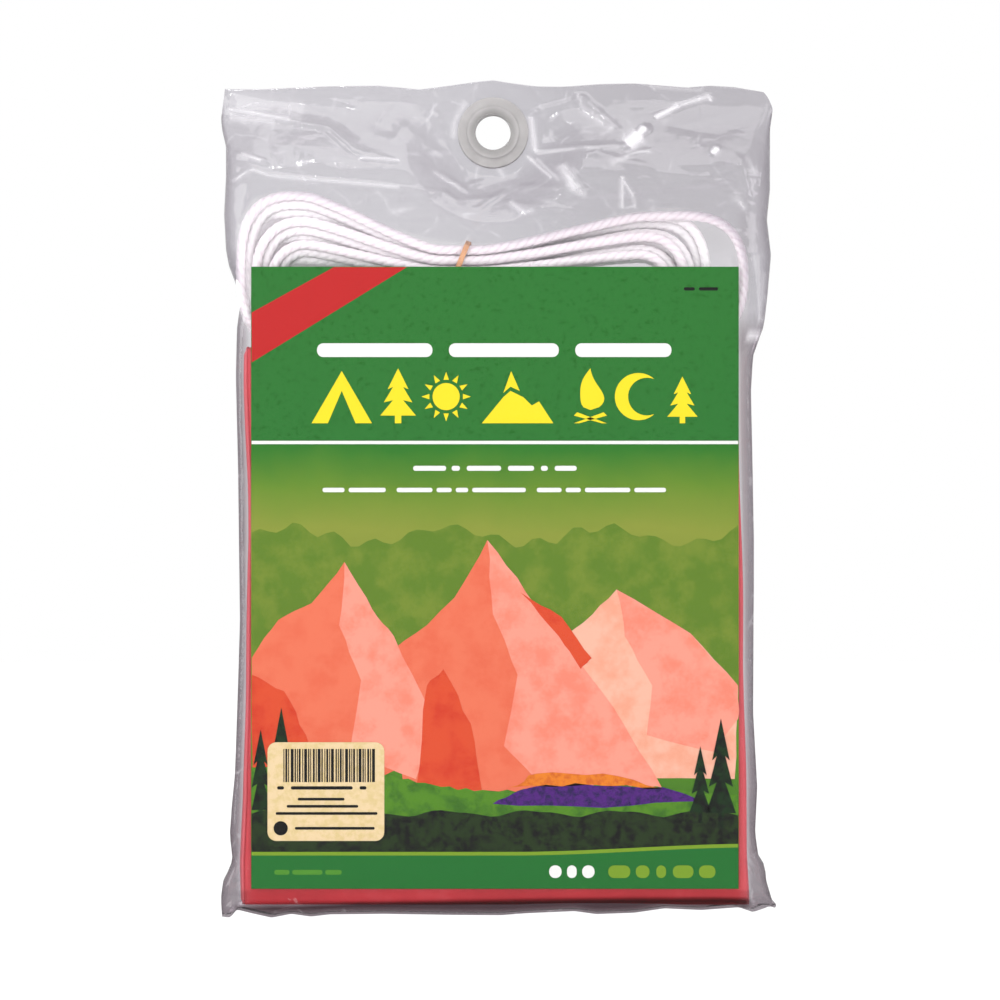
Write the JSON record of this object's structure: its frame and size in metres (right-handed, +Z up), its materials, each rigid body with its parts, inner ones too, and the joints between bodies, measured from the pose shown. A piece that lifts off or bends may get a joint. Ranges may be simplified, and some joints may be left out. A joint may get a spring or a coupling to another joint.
{
  "type": "emergency tube tent",
  "caption": "Packed tube tent in a clear hang bag: a folded plastic tube, a hank of guy cord, a leaflet and a printed card, hung by a snap eyelet.",
  "frame": {"origin": "the middle of the hang hole, in the plane where the bag's two panels are welded", "axes": "+Z up as the pack hangs, the card faces -Y, +X to the right as seen from the front"},
  "size_m": [0.2004, 0.0224, 0.3039],
  "materials": {
    "clear_film": "clear, crinkled and glossy polyethylene film",
    "red_polyethylene": "thin translucent film in many folds, soft sheen",
    "leaflet_paper": "uncoated",
    "printed_board": "coated board, printed in full colour",
    "white_cord": "laid synthetic cord of three strands",
    "tan_band": "matt",
    "eyelet_plastic": "moulded, translucent"
  },
  "bodies": {
    "bag": {"bag_front_panel": "clear_film", "bag_back_panel": "clear_film", "eyelet_front": "eyelet_plastic", "eyelet_back": "eyelet_plastic", "tent_tube": "red_polyethylene", "instruction_leaflet": "leaflet_paper"},
    "card": {"printed_card": "printed_board"},
    "hank": {"guy_cord_hank": "white_cord", "hank_band": "tan_band"}
  },
  "joints": [
    {"name": "card_slide", "type": "slide", "parent": "bag", "child": "card", "axis": [0, 0, 1], "range_m": [0, 0.012]},
    {"name": "hank_slide", "type": "slide", "parent": "bag", "child": "hank", "axis": [0, 0, 1], "range_m": [0, 0.004]}
  ]
}
